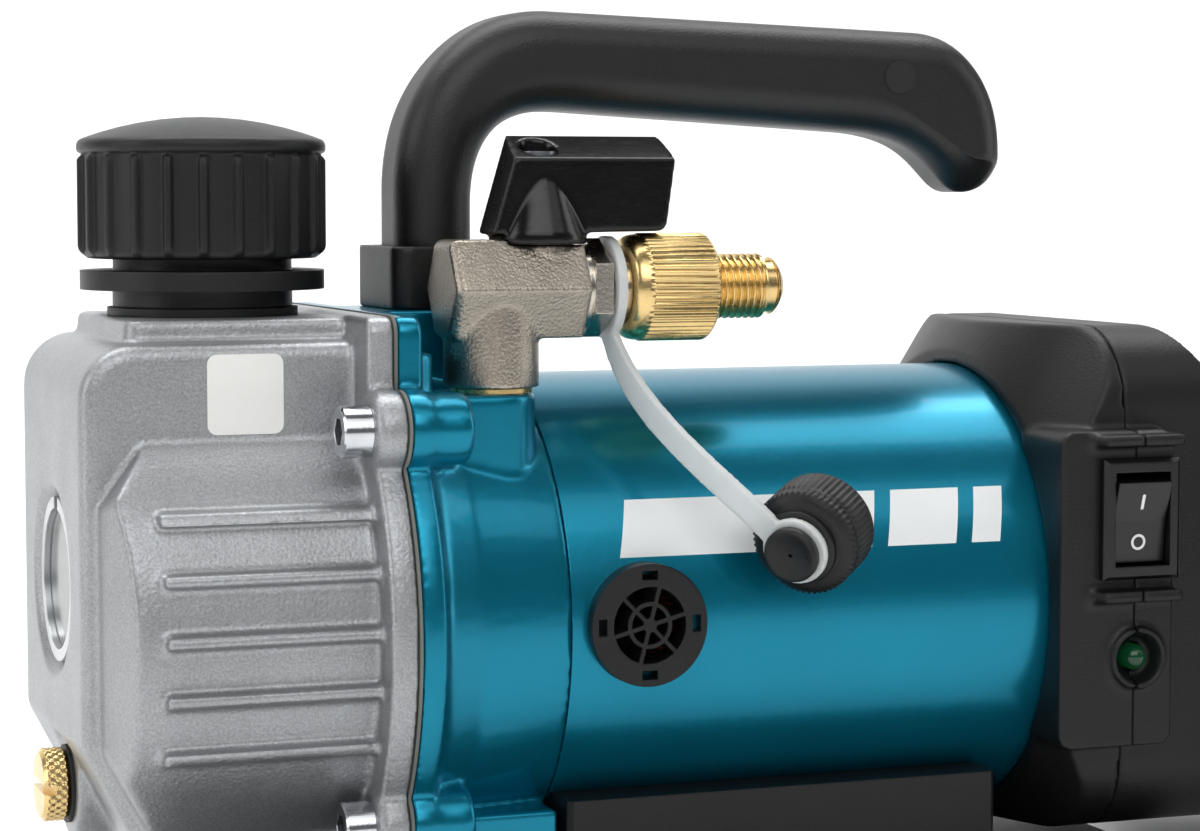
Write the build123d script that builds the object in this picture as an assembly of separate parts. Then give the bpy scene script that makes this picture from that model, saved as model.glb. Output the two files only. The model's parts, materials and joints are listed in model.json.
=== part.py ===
"""HVAC vacuum pump: oil-sealed two-stage rotary vane pump, direct motor drive, slide-on battery.

The pump is drawn about its motor axis: X runs along the shaft from the oil tank (-X) to the battery (+X),
Y runs across it with the switch on the -Y side, Z points up, and x = 0 is the joint between the front
casting and the motor can. save() then moves every piece so that the origin is on the floor, at the middle
of the whole pump.
"""
from build123d import *
import os

os.makedirs("parts", exist_ok=True)

# Whole pump
AXIS_HEIGHT = 58.0          # motor axis above the floor
TANK_END = -78.0            # outside of the tank's end wall
PLUG_END = -80.6            # outside of the drain plug's head
BATTERY_END = 191.0         # far face of the battery
MID_X = (PLUG_END + BATTERY_END) / 2
HALF_WIDTH = 58.5           # base plate and battery
GAP = 0.1                   # clearance between neighbouring pieces
RUN = 0.03                  # radial clearance of a running fit

# Motor can and front casting
CAN_R = 40.6
CAN_WALL = 2.0
CAN_LENGTH = 91.6
CAN_BORE_R = CAN_R - CAN_WALL
MOTOR_SCREW_R = 35.5
CASTING_FACE = -28.0        # parting plane of tank and casting
GASKET_T = 0.5
CASTING_FLARE_R = 48.5
CASTING_WALL_X = -20.0      # motor side of the pump wall
VENT_X = 12.8
VENT_Z = 1.0
VENT_R = 10.2

# Tank
FLANGE_T = 4.5
TANK_HALF_Y = 27.0
TANK_TOP = 48.0
TANK_BOTTOM = -44.0
TANK_WALL = 4.0
BARREL_R = 42.0
RIB_R = 44.5
RIB_T = 2.0
RIB_TOP_Z = 21.0
RIB_PITCH = 9.45
PAD_TOP = 51.7
FLANGE_TOP = 52.3
SCREW_SEATS = [(37.0, 34.0), (37.0, -30.2), (-37.0, 34.0), (-37.0, -30.2)]
LUG_R = 6.5
SCREW_SEAT_X = -33.6        # face that the tank screws' heads bear on

# Oil cap and its neck
CAP_X = -51.8
CAP_R = 21.0
CAP_BOTTOM = 61.2
CAP_EDGE_TOP = 81.0
CAP_TOP = 84.9
NECK_BORE_R = 12.6
CAP_THREAD_R = 12.5

# Sight glass and drain plug, both in the tank's end wall
GLASS_Z = 7.7
GLASS_R = 13.8
DRAIN_Z = -27.0
DRAIN_HEAD_R = 6.2
DRAIN_SEAT_X = -75.6        # face that the drain seal lies on
DRAIN_THREAD_R = 5.0

# Pump stages
SHAFT_R = 6.0
STAGE_R = 31.0
ROTOR_R = 16.0
STAGE_BORE_R = 20.0
STAGE_BORE_Z = -3.9         # the bore is eccentric, so the rotor nearly touches its top
FRONT_PLATE = (-33.0, CASTING_FACE)
STAGE_1 = (-47.0, -33.0)
MIDDLE_PLATE = (-51.0, -47.0)
STAGE_2 = (-60.0, -51.0)
END_PLATE = (-64.0, -60.0)
STAGE_SCREW_R = 27.0
VANE_T = 3.0

# Valve and flare adapter
VALVE_Y = -25.0
VALVE_Z = 56.2
VALVE_STEM_X = -0.5
VALVE_HEX = 16.4
SPIGOT_X = -8.8
INLET_TOP = 39.0
BALL_R = 6.2
HUB_BOTTOM = 63.6           # underside of the lever's hub
NUT_R = 9.15
NUT = (13.9, 29.6)
FLARE_R = 5.5562            # 7/16 inch flare thread, major radius
NIPPLE_END = 43.0

# Port cap and its strap
CAP_AXIS = Vector(0.71, 0.64, 0.28).normalized()    # points out of the cap's open end
PORT_CAP_BACK = Vector(42.8, -45.8, 17.2)           # middle of the cap's open end

# Rear housing and battery
HOUSE_FRONT = 88.6
HOUSE_SEAM = 102.6
HOUSE_REAR = 133.0
HOUSE_HALF_Y = 40.8
HOUSE_TOP = 48.6
HOUSE_BOTTOM = -41.5
NECK_TOP = 30.0
SHELL_T = 2.6
PANEL_Y = -45.0
SWITCH_X = 103.0
SWITCH_Z = 15.6
ROCKER_PIVOT_Y = -43.5
ROCKER_TILT = 12.0
ROCKER_PIN_R = 1.2
LED_Z = -8.8
HOUSE_SCREWS = [(-27.0, 38.0), (27.0, 38.0), (-30.0, -32.0), (30.0, -32.0)]
BATTERY_Z = -5.5            # middle of the battery
BATTERY_HALF_Z = 37.5
BATTERY_LENGTH = 115.0
BATTERY_Y = (HALF_WIDTH - BATTERY_LENGTH, HALF_WIDTH)
RAIL_HALF = 22.5
CELL_R = 9.1

# Handle
POST_X = -12.35
POST_HALF = 6.8
HANDLE_HALF_Y = 9.5
HANDLE_TOP = 103.6
COLLAR_TOP = 63.0

# Base
PLATE_TOP = -49.0
PLATE_T = 3.0
FOOT_R = 9.0
FEET_AT = [(-55.0, -45.0), (-55.0, 45.0), (112.0, -45.0), (112.0, 45.0)]
FOOT_SCREWS = [(-11.0, -24.0), (-11.0, 24.0)]
PEDESTAL_SCREWS = [(5.0, -33.0), (5.0, 33.0), (74.0, -33.0), (74.0, 33.0)]


def cyl_x(x0, x1, radius, y=0.0, z=0.0):
    low = (Align.CENTER, Align.CENTER, Align.MIN)
    return Pos(x0, y, z) * Rot(0, 90, 0) * Cylinder(radius, x1 - x0, align=low)


def cyl_y(y0, y1, radius, x=0.0, z=0.0):
    low = (Align.CENTER, Align.CENTER, Align.MIN)
    return Pos(x, y0, z) * Rot(-90, 0, 0) * Cylinder(radius, y1 - y0, align=low)


def cyl_z(z0, z1, radius, x=0.0, y=0.0):
    low = (Align.CENTER, Align.CENTER, Align.MIN)
    return Pos(x, y, z0) * Cylinder(radius, z1 - z0, align=low)


def ring_x(x0, x1, outer, inner, y=0.0, z=0.0):
    return cyl_x(x0, x1, outer, y, z) - cyl_x(x0 - 1, x1 + 1, inner, y, z)


def ring_z(z0, z1, outer, inner, x=0.0, y=0.0):
    return cyl_z(z0, z1, outer, x, y) - cyl_z(z0 - 1, z1 + 1, inner, x, y)


def block(x, y, z):
    """A box from (low, high) pairs."""
    size = Box(x[1] - x[0], y[1] - y[0], z[1] - z[0])
    return Pos((x[0] + x[1]) / 2, (y[0] + y[1]) / 2, (z[0] + z[1]) / 2) * size


def hex_x(x0, x1, across, y=0.0, z=0.0, turn=0.0):
    """A hexagonal bar along X with a flat on top."""
    polygon = RegularPolygon(across / 2, 6, major_radius=False)
    outline = Pos(x0, y, z) * Rot(0, 90, 0) * Rot(0, 0, 30 + turn) * polygon
    return extrude(outline, x1 - x0, dir=(1, 0, 0))


def outline_yz(sketch, x0, x1):
    """A sketch drawn with its X across the pump and its Y up, as a prism along X."""
    return extrude(Plane((x0, 0, 0), x_dir=(0, 1, 0), z_dir=(1, 0, 0)) * sketch, x1 - x0)


def outline_xz(sketch, y0, y1):
    """A sketch drawn with its X along the pump and its Y up, as a prism along Y."""
    return extrude(Plane((0, y1, 0), x_dir=(1, 0, 0), z_dir=(0, -1, 0)) * sketch, y1 - y0)


def soft_box(x, y, z, radius, axis):
    """A box with its edges along one axis rounded."""
    body = block(x, y, z)
    return fillet(body.edges().filter_by(axis), radius)


def around_x(shape, count, start=0.0):
    return [Rot(start + 360 / count * i, 0, 0) * shape for i in range(count)]


def save(name, *pieces):
    solids = [s for piece in pieces for s in piece.solids()]
    moved = [Pos(-MID_X, 0, AXIS_HEIGHT) * s for s in solids]
    whole = moved[0] if len(moved) == 1 else Compound(children=moved)
    export_step(whole, f"parts/{name}.step")


# ---------------------------------------------------------------- tank

def flange_sketch(grow=0.0):
    """The joint face of tank, gasket and casting: a disc, a flat top and bottom, four screw lugs."""
    body = Circle(CASTING_FLARE_R + grow)
    top_h = FLANGE_TOP + grow - 10
    body += Pos(0, 10 + top_h / 2) * RectangleRounded(2 * (35 + grow), top_h, 3)
    body += Pos(0, -31) * RectangleRounded(2 * (33 + grow), 2 * 14, 3)
    for y, z in SCREW_SEATS:
        body += Pos(y, z) * Circle(LUG_R + grow)
    keep = Pos(0, 4) * Rectangle(140, 2 * (FLANGE_TOP + grow - 4))
    low = Pos(0, -45 - grow - 20) * Rectangle(140, 40)
    return (body & keep) - low


def barrel(radius, x0, x1):
    """The tank's round belly, cut to an outline with sloping corners and a sloping end on each side."""
    z_half = 32.0
    corner = 8.0
    side = Polyline(
        (x0, z_half - corner - 3), (x0 + corner, z_half), (x1, z_half), (x1, -z_half),
        (x0 + corner + 1, -z_half), (x0, -z_half + corner + 8), close=True)
    prism = outline_xz(make_face(side), -60, 60)
    plan = Polyline((x0, -20), (x0 + 1, -30), (x0 + 8.7, -60), (x1, -60), (x1, 60), (x0 + 8.7, 60),
                    (x0 + 1, 30), (x0, 20), close=True)
    drafted = extrude(Pos(0, 0, -60) * make_face(plan), 120)
    return cyl_x(x0, x1, radius) & prism & drafted


def tank_shell():
    """The tank's box with its raised pad, belly and ribs, before it is hollowed."""
    low_corner = Polyline(
        (TANK_END, TANK_TOP), (-31, TANK_TOP), (-31, TANK_BOTTOM), (-64, TANK_BOTTOM),
        (TANK_END, -17), close=True)
    box = outline_xz(make_face(low_corner), -TANK_HALF_Y, TANK_HALF_Y)
    ends = box.edges().filter_by(Axis.Y).sort_by(Axis.Z)
    box = fillet(ends[-2:].sort_by(Axis.X)[:1], 9)
    rim = box.faces().filter_by(Axis.Y).edges().filter_by(lambda e: e.center().X < -40)
    box = fillet(rim, 2.6)
    pad = soft_box((-69.5, -31), (-22, 22), (TANK_TOP - 6, PAD_TOP), 3, Axis.Z)
    pad = fillet(pad.faces().sort_by(Axis.Z)[-1].edges().filter_by(lambda e: e.center().X < -32), 1.2)
    ribs = []
    for i in range(5):
        z = RIB_TOP_Z - RIB_PITCH * i
        slab = block((-68, -31), (-60, 60), (z - RIB_T / 2, z + RIB_T / 2))
        ribs.append(cyl_x(-68, -31, RIB_R) & slab)
    shape = box + pad + barrel(BARREL_R, -76.2, -31) + ribs
    lugs = [cyl_x(SCREW_SEAT_X, CASTING_FACE - GASKET_T, LUG_R - 1, y, z) for y, z in SCREW_SEATS]
    flange = outline_yz(flange_sketch(), CASTING_FACE - GASKET_T - FLANGE_T, CASTING_FACE - GASKET_T)
    flange = fillet(flange.faces().sort_by(Axis.X)[0].edges(), 1.0)
    return shape + flange + lugs


def tank_cavity():
    inside = Polyline((-74, 44), (-20, 44), (-20, -40), (-62, -40), (-74, -16), close=True)
    room = outline_xz(make_face(inside), -TANK_HALF_Y + TANK_WALL, TANK_HALF_Y - TANK_WALL)
    return room + (barrel(BARREL_R - TANK_WALL, -70, -20) & block((-70, -20), (-60, 60), (-30, 30)))


def oil_tank():
    glass_boss = cyl_x(TANK_END + 2, -69, GLASS_R + 3.5, 0, GLASS_Z)
    drain_boss = cyl_x(DRAIN_SEAT_X, -64.6, 9, 0, DRAIN_Z)
    tank = tank_shell() - tank_cavity() + glass_boss + drain_boss
    tank -= cyl_z(40, 60, 15.2, CAP_X, 0)
    tank -= cyl_x(TANK_END - 1, -72, GLASS_R + GAP, 0, GLASS_Z)
    tank -= cyl_x(-80, -60, GLASS_R - 2.3, 0, GLASS_Z)
    mouth = Pos(TANK_END, 0, GLASS_Z) * Rot(0, 90, 0) * Cone(
        GLASS_R + 2.4, GLASS_R, 2.4, align=(Align.CENTER, Align.CENTER, Align.MIN))
    tank -= mouth
    tank -= cyl_x(-90, DRAIN_SEAT_X, 9, 0, DRAIN_Z)
    tank -= cyl_x(-80, -60, DRAIN_THREAD_R + RUN, 0, DRAIN_Z)
    for y, z in SCREW_SEATS:
        tank -= cyl_x(-45, -20, 2.7, y, z)
        tank -= cyl_x(-45, SCREW_SEAT_X, 5.2, y, z)
    return tank


def tank_gasket():
    sheet = outline_yz(flange_sketch(), CASTING_FACE - GASKET_T, CASTING_FACE)
    sheet -= block((-40, -20), (-23, 23), (-40, 44))
    sheet -= cyl_x(-40, -20, 37.9)
    for y, z in SCREW_SEATS:
        sheet -= cyl_x(-45, -20, 2.7, y, z)
    return sheet


def socket_screw_x(head_x, tip_x, y, z, shank, head_r, head_h):
    """A cap screw along X whose head seats at head_x and whose tip points to +X."""
    head = cyl_x(head_x - head_h, head_x, head_r, y, z)
    head = chamfer(head.faces().sort_by(Axis.X)[0].edges(), 0.4)
    body = head + cyl_x(head_x, tip_x, shank, y, z)
    return body - hex_x(head_x - head_h, head_x - head_h / 2, head_r, y, z)


def tank_screws():
    return [socket_screw_x(SCREW_SEAT_X, -18.5, y, z, 2.45, 4.25, 5.0) for y, z in SCREW_SEATS]


def sight_glass():
    return cyl_x(-76, -72, GLASS_R, 0, GLASS_Z)


def sight_glass_ring():
    ring = ring_x(-77.2, -76, GLASS_R, GLASS_R - 2, 0, GLASS_Z)
    return ring - block((-78, -75), (-1.5, 1.5), (GLASS_Z, GLASS_Z + 20))


# ------------------------------------------------------- oil cap group

def fill_neck():
    """The plastic neck that plugs into the tank's top and carries the cap's thread."""
    neck = ring_z(53, 56, 15.1, NECK_BORE_R, CAP_X)
    neck += ring_z(56, 59.2, 20.5, NECK_BORE_R, CAP_X)
    neck += ring_z(59.2, CAP_BOTTOM + 2, 15.0, NECK_BORE_R, CAP_X)
    neck += ring_z(34, 53, 14.4, NECK_BORE_R, CAP_X)
    return neck - block((CAP_X - 30, CAP_X + 30), (-3, 3), (34, 40))


def neck_seal():
    return ring_z(PAD_TOP, 53, 16.0, 14.4 + GAP, CAP_X)


def oil_cap():
    """Cap with a thin plain rim, grip ribs and a domed top; a spigot screws into the neck."""
    skirt = cyl_z(CAP_BOTTOM, CAP_EDGE_TOP, CAP_R - 0.8, CAP_X)
    skirt = chamfer(skirt.faces().sort_by(Axis.Z)[0].edges(), 1.0)
    rise = CAP_TOP - CAP_EDGE_TOP
    base_r = CAP_R - 0.8
    dome_r = (base_r ** 2 + rise ** 2) / (2 * rise)
    dome = Pos(CAP_X, 0, CAP_TOP - dome_r) * Sphere(dome_r)
    dome = dome & cyl_z(CAP_EDGE_TOP, CAP_TOP + 1, base_r, CAP_X)
    grip = [Pos(CAP_X, 0, 0) * Rot(0, 0, 360 / 22 * i) * Pos(-CAP_X, 0, 0)
            * cyl_z(CAP_BOTTOM + 1, CAP_EDGE_TOP - 2.6, 0.7, CAP_X + CAP_R - 0.75) for i in range(22)]
    cap = skirt + dome + grip
    cap -= cyl_z(CAP_BOTTOM - 1, CAP_BOTTOM + 15.5, CAP_R - 3, CAP_X)
    spigot = ring_z(44, CAP_BOTTOM + 17, CAP_THREAD_R, 10.6, CAP_X)
    return cap + spigot


def exhaust_filter():
    return ring_z(36, 72, 10.4, 6.0, CAP_X) + ring_z(72, 73.5, 10.4, 6.0, CAP_X)


# ------------------------------------------------------------- drain

def drain_plug():
    head = cyl_x(PLUG_END, DRAIN_SEAT_X - 0.7, DRAIN_HEAD_R, 0, DRAIN_Z)
    head = chamfer(head.edges().filter_by(GeomType.CIRCLE), 0.6)
    plug = head + cyl_x(DRAIN_SEAT_X - 0.7, -64.6, DRAIN_THREAD_R, 0, DRAIN_Z)
    return plug - block((PLUG_END - 1, PLUG_END + 1.8), (-10, 10), (DRAIN_Z - 0.8, DRAIN_Z + 0.8))


def drain_seal():
    return ring_x(DRAIN_SEAT_X - 0.65, DRAIN_SEAT_X - 0.05, 6.6, DRAIN_THREAD_R + 0.02, 0, DRAIN_Z)


# ------------------------------------------------------- front casting

def casting_body():
    profile = Polyline(
        (CASTING_FACE, 0), (CASTING_FACE, CASTING_FLARE_R), (-25.5, CASTING_FLARE_R - 0.6),
        (-22, 45.4), (-16, 43.2), (-6, 41.6), (0, CAN_R), (0, 0), close=True)
    flare = revolve(Plane.XZ * make_face(profile), Axis.X)
    flange = outline_yz(flange_sketch(), CASTING_FACE, -23.5)
    flange = fillet(flange.faces().sort_by(Axis.X)[-1].edges(), 1.2)
    body = flare + flange
    for y, z in SCREW_SEATS:
        lug = cyl_x(CASTING_FACE, -17, LUG_R - 0.5, y, z)
        body += fillet(lug.faces().sort_by(Axis.X)[-1].edges(), 1.5)
    inlet = soft_box((CASTING_FACE, -1.8), (-33.5, -16), (12, INLET_TOP), 7.5, Axis.Z)
    pedestal = soft_box((-24, -2.5), (-14, 14), (30, FLANGE_TOP), 2.5, Axis.Z)
    step = soft_box((CASTING_FACE, -20.5), (-32, 32), (30, 46), 2.5, Axis.Z)
    foot = block((-22, -1), (-36, 36), (PLATE_TOP, -30))
    return body + inlet + pedestal + step + foot


def front_casting():
    body = casting_body()
    cavity = cyl_x(CASTING_WALL_X, 1, 34) & block((-21, 1), (-50, 50), (-50, 29))
    inlet = soft_box((CASTING_FACE, -1.8), (-33.5, -16), (12, INLET_TOP), 7.5, Axis.Z)
    body = body - (cavity - inlet)
    body -= cyl_x(CASTING_FACE - 1, CASTING_WALL_X + 1, 12.05)
    body -= cyl_z(17, INLET_TOP + 1, 6.0, SPIGOT_X, VALVE_Y)
    body -= cyl_x(CASTING_FACE - 1, SPIGOT_X, 3, -20, 20)
    for y, z in SCREW_SEATS:
        body -= cyl_x(CASTING_FACE - 1, -18.0, 2.5, y, z)
    for screw in around_x(cyl_x(-9, 1, 2.05, MOTOR_SCREW_R, 0), 4, 45):
        body -= screw
    for screw in around_x(cyl_x(CASTING_FACE - 1, -22.9, 2.1, STAGE_SCREW_R, 0), 4, 45):
        body -= screw
    for x, y in FOOT_SCREWS:
        body -= cyl_z(PLATE_TOP - 1, -40, 2.1, x, y)
    return body - cyl_z(44, 60, 2.6, POST_X)


# --------------------------------------------------------- pump stages

def stage_disc(span, bore_r, bore_z=0.0):
    disc = cyl_x(span[0], span[1], STAGE_R) - cyl_x(span[0] - 1, span[1] + 1, bore_r, 0, bore_z)
    for hole in around_x(cyl_x(span[0] - 1, span[1] + 1, 2.2, STAGE_SCREW_R, 0), 4, 45):
        disc -= hole
    return disc


def pump_front_plate():
    plate = stage_disc(FRONT_PLATE, SHAFT_R + RUN)
    return plate - cyl_x(-34, -27, 3, -20, 20) - block((-34, -31.5), (-20, -10), (8, 21))


def stage_ring_1():
    ring = stage_disc(STAGE_1, STAGE_BORE_R, STAGE_BORE_Z)
    flat = block((-48, -32), (-6, 6), (29, 40))
    return ring - flat - cyl_z(10, 40, 2, -40, 3)


def stage_ring_2():
    ring = stage_disc(STAGE_2, STAGE_BORE_R, STAGE_BORE_Z)
    flat = block((-61, -50), (-6, 6), (29, 40))
    return ring - flat - cyl_z(10, 40, 2, -55.5, 3)


def discharge_valves():
    """A reed and a stop over each stage's discharge hole."""
    valves = []
    for x in (-40, -55.5):
        reed = block((x - 4, x + 4), (-5.5, 5.5), (29, 29.4))
        stop = block((x - 4, x + 4), (-5.5, 5.5), (29.4, 30.4)) - block((x - 3, x + 3), (0, 5), (29.3, 29.9))
        valves.append(reed + stop)
    return valves


def pump_screws():
    """The four long screws that clamp the stages to the casting; heads on the tank side."""
    tip = -23.2
    shape = socket_screw_x(END_PLATE[0], tip, STAGE_SCREW_R, 0, 2.0, 3.5, 4.0)
    return around_x(shape, 4, 45)


def rotor_slot(x0, x1, width, low, high):
    return block((x0, x1), (low, high), (-width / 2, width / 2))


def pump_rotor():
    """Shaft with a rotor for each stage, slotted for two opposed vanes."""
    rotor = cyl_x(-63.8, -13, SHAFT_R)
    for x0, x1 in (STAGE_1, STAGE_2):
        disc = cyl_x(x0 + 0.05, x1 - 0.05, ROTOR_R)
        for turn in (0, 180):
            disc -= Rot(turn, 0, 0) * rotor_slot(x0, x1, VANE_T + 0.06, 7.5, ROTOR_R + 1)
        rotor += disc
    return rotor


def vanes():
    blades = []
    for x0, x1 in (STAGE_1, STAGE_2):
        for turn in (0, 180):
            blade = rotor_slot(x0 + 0.08, x1 - 0.08, VANE_T, 9.0, ROTOR_R - 0.15)
            blades.append(Rot(turn, 0, 0) * blade)
    return blades


def shaft_seal():
    return ring_x(CASTING_FACE + 0.1, CASTING_WALL_X, 12.0, SHAFT_R + RUN)


# ------------------------------------------------------ coupling, motor

def coupling_half(x0, x1, jaw_x0, jaw_x1, bore, turn):
    hub = ring_x(x0, x1, 15, bore)
    for i in range(3):
        jaw = block((jaw_x0, jaw_x1), (9, 14.5), (-3.2, 3.2))
        hub += Rot(turn + 120 * i, 0, 0) * jaw
    return hub


def coupling_spider():
    spider = ring_x(-8.9, -5.1, 8.6, 3.5)
    for i in range(6):
        arm = block((-8.9, -5.1), (7, 14.5), (-1.6, 1.6))
        spider += Rot(30 + 60 * i, 0, 0) * arm
    return spider


def motor_shaft():
    return cyl_x(-4.5, 86, 5.0)


def motor_can():
    can = ring_x(0, CAN_LENGTH, CAN_R, CAN_BORE_R)
    return can - cyl_y(-60, 60, VENT_R - 2.0, VENT_X, VENT_Z)


def vent_grille(side):
    """A disc snapped into the can's side opening, with four slots around a spoked centre."""
    y_out = side * (CAN_R + 2.2)
    y_in = side * 34.0
    span = sorted((y_in, y_out))
    disc = cyl_y(min(span), max(span), VENT_R, VENT_X, VENT_Z)
    flange = disc - cyl_x(-20, 60, CAN_R + 0.05)
    plug = cyl_y(min(span), max(span), VENT_R - 2.1, VENT_X, VENT_Z)
    plug = plug & cyl_x(-20, 60, CAN_R + 0.3)
    plug -= cyl_x(-20, 60, CAN_BORE_R)
    grille = flange + plug
    opening = Circle(6.4) - Circle(3.9) + (Circle(3.2) - Circle(1.2))
    for i in range(3):
        opening -= Rot(0, 0, 60 * i + 15) * Rectangle(14, 0.7)
    for i in range(4):
        opening += Rot(0, 0, 90 * i) * Pos(8.3, 0) * Rectangle(1.5, 2.8)
    cutter = outline_xz(Pos(VENT_X, VENT_Z) * opening, min(span) - 1, max(span) + 1)
    return grille - cutter


def motor_plate(x0, x1, seat_x0, seat_x1, seat_r, bore_r, screw_r=None):
    plate = cyl_x(x0, x1, CAN_BORE_R - GAP) - cyl_x(x0 - 1, x1 + 1, bore_r)
    plate -= cyl_x(seat_x0, seat_x1, seat_r)
    for slot in around_x(block((x0 - 1, x1 + 1), (18, 31), (-4, 4)), 6, 0):
        plate -= slot
    if screw_r:
        for hole in around_x(cyl_x(x0 - 1, x1 + 1, 2.1, MOTOR_SCREW_R, 0), 4, 45):
            plate -= hole
    return plate


def ball_bearing(x0, x1, outer, inner):
    """Two rings with seven balls between them."""
    mid = (outer + inner) / 2
    ball = (outer - inner) * 0.16
    groove = Pos((x0 + x1) / 2, 0, 0) * Rot(0, 90, 0) * Torus(mid, ball + 0.02)
    outer_ring = ring_x(x0, x1, outer, mid + ball * 0.6) - groove
    inner_ring = ring_x(x0, x1, mid - ball * 0.6, inner) - groove
    balls = around_x(Pos((x0 + x1) / 2, mid, 0) * Sphere(ball), 7)
    return [outer_ring, inner_ring] + balls


def stator_core():
    core = ring_x(24, 54, CAN_BORE_R - GAP, 20.6)
    for slot in around_x(block((23, 55), (23.5, 34), (-4.2, 4.2)), 9):
        core -= slot
    for mouth in around_x(block((23, 55), (18, 24), (-1.2, 1.2)), 9):
        core -= mouth
    return core


def stator_windings():
    """Copper in the nine slots with a ring of end turns at each end."""
    coil = block((22, 56), (23.8, 33.7), (-3.9, 3.9))
    bars = around_x(coil, 9)
    rings = [ring_x(18, 23.9, 34.0, 23.0), ring_x(54.1, 60, 34.0, 23.0)]
    whole = rings[0] + rings[1]
    for bar in bars:
        whole += bar
    return whole


def magnet_rotor():
    return ring_x(23, 55, 20.0, 5.02)


def cooling_fan():
    fan = ring_x(63, 72, 11, 5.02) + ring_x(71, 72.5, 33, 10)
    for blade in around_x(block((63, 71.2), (10.5, 32.5), (-0.8, 0.8)), 9):
        fan += blade
    return fan


def motor_screws():
    shape = cyl_x(6.3, 8.3, 2.9) + cyl_x(-8, 6.3, 1.95)
    shape -= hex_x(7.3, 9, 3.0)
    placed = [Rot(45 + 90 * i, 0, 0) * (Pos(0, MOTOR_SCREW_R, 0) * shape) for i in range(4)]
    return placed


# --------------------------------------------------------- rear housing

def house_side(x0, x1, inset):
    """The housing's side outline: level top, S-shaped drop to the neck, flat rear face."""
    top = HOUSE_TOP - inset
    neck = NECK_TOP - inset
    low = HOUSE_BOTTOM + inset
    drop = Spline((112, top), (116.5, top - 2.6), (121, 39.8 - inset), (126, 33.6 - inset), (133.5, neck),
                  tangents=((1, 0), (1, -0.15)))
    rest = Polyline((133.5, neck), (134, neck), (134, low), (88, low), (88, top), (112, top))
    side = make_face(drop + rest)
    return outline_xz(side, -60, 60) & block((x0, x1), (-60, 60), (-60, 60))


def house_round(x0, x1, inset, corner=14.0):
    half = HOUSE_HALF_Y - inset
    mid = (HOUSE_TOP + HOUSE_BOTTOM) / 2
    tall = HOUSE_TOP - HOUSE_BOTTOM - 2 * inset
    return outline_yz(Pos(0, mid) * RectangleRounded(2 * half, tall, corner - inset), x0, x1)


def front_cone(radius):
    """A cone that widens from the can towards the seam."""
    length = HOUSE_SEAM + 1 - HOUSE_FRONT
    low = (Align.CENTER, Align.CENTER, Align.MIN)
    return Pos(HOUSE_FRONT, 0, 0) * Rot(0, 90, 0) * Cone(radius, radius + 1.2 * length, length, align=low)


def house_front_form():
    """Front half: the seam's outline, drawn in to a collar around the can."""
    form = house_round(HOUSE_FRONT, HOUSE_SEAM, 0) & front_cone(CAN_R + 2.4)
    form += cyl_x(HOUSE_FRONT, 96, CAN_R + 2.4)
    return form & block((80, 104), (-60, 60), (HOUSE_BOTTOM, HOUSE_TOP))


def panel(x0, x1):
    face = soft_box((88.0, 110.3), (PANEL_Y, -30), (-24.5, 31), 2.5, Axis.Y)
    return face & block((x0, x1), (-60, 60), (-60, 60))


def switch_guards(x0, x1):
    """Ribs above and below the switch."""
    corners = Polyline((93, PANEL_Y + 1), (95.5, -48.5), (110.5, -48.5), (110.5, PANEL_Y + 1), close=True)
    upper = make_face(corners)
    guards = extrude(Pos(0, 0, 28.4) * upper, 2.0) + extrude(Pos(0, 0, 1.2) * upper, 2.0)
    return guards & block((x0, x1), (-60, 60), (-60, 60))


def switch_opening():
    return block((SWITCH_X - 6.4, SWITCH_X + 6.4), (-60, -24), (SWITCH_Z - 9.4, SWITCH_Z + 9.4))


def led_opening():
    hole = cyl_y(-60, -30, 2.35, SWITCH_X, LED_Z)
    dish = Pos(SWITCH_X, PANEL_Y - 1.6, LED_Z) * Rot(-90, 0, 0) * Cone(
        4.6, 3.4, 3.4, align=(Align.CENTER, Align.CENTER, Align.MIN))
    return hole + dish


def led_bezel(x0, x1):
    ring = cyl_y(PANEL_Y - 1.6, PANEL_Y + 2, 5.4, SWITCH_X, LED_Z)
    return ring & block((x0, x1), (-60, 60), (-60, 60))


def switch_side(x0, x1):
    """The panel with its ribs and the lamp's bezel, between two planes across the pump."""
    return panel(x0, x1) + switch_guards(x0, x1) + led_bezel(x0, x1)


def rear_housing_front():
    outside = house_front_form() + switch_side(80, HOUSE_SEAM)
    shell = outside
    shell -= house_round(HOUSE_FRONT, HOUSE_SEAM + 1, SHELL_T) & front_cone(CAN_R - 1.2)
    shell -= cyl_x(80, CAN_LENGTH + GAP, CAN_R + GAP)
    shell -= cyl_x(80, 96, CAN_R - 3.5)
    for y, z in HOUSE_SCREWS:
        shell += cyl_x(92.2, HOUSE_SEAM, 4, y, z)
    shell = shell & outside
    for y, z in HOUSE_SCREWS:
        shell -= cyl_x(93, HOUSE_SEAM + 1, 1.6, y, z)
    return shell - switch_opening() - led_opening()


def neck_rails():
    """Two L-shaped rails on the rear face that the battery slides along."""
    rails = []
    for side in (-1, 1):
        leg = sorted((BATTERY_Z + side * RAIL_HALF, BATTERY_Z + side * (RAIL_HALF + 3)))
        lip = sorted((BATTERY_Z + side * (RAIL_HALF - 3), BATTERY_Z + side * RAIL_HALF))
        rails.append(block((HOUSE_REAR - 1, 139), (-34, 34), leg))
        rails.append(block((136, 139), (-34, 34), lip))
    return rails


def rear_form():
    form = house_side(HOUSE_SEAM, HOUSE_REAR, 0) & house_round(HOUSE_SEAM, HOUSE_REAR, 0)
    rear_edges = form.faces().sort_by(Axis.X)[-1].edges()
    return chamfer(rear_edges, 1.0)


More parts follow.
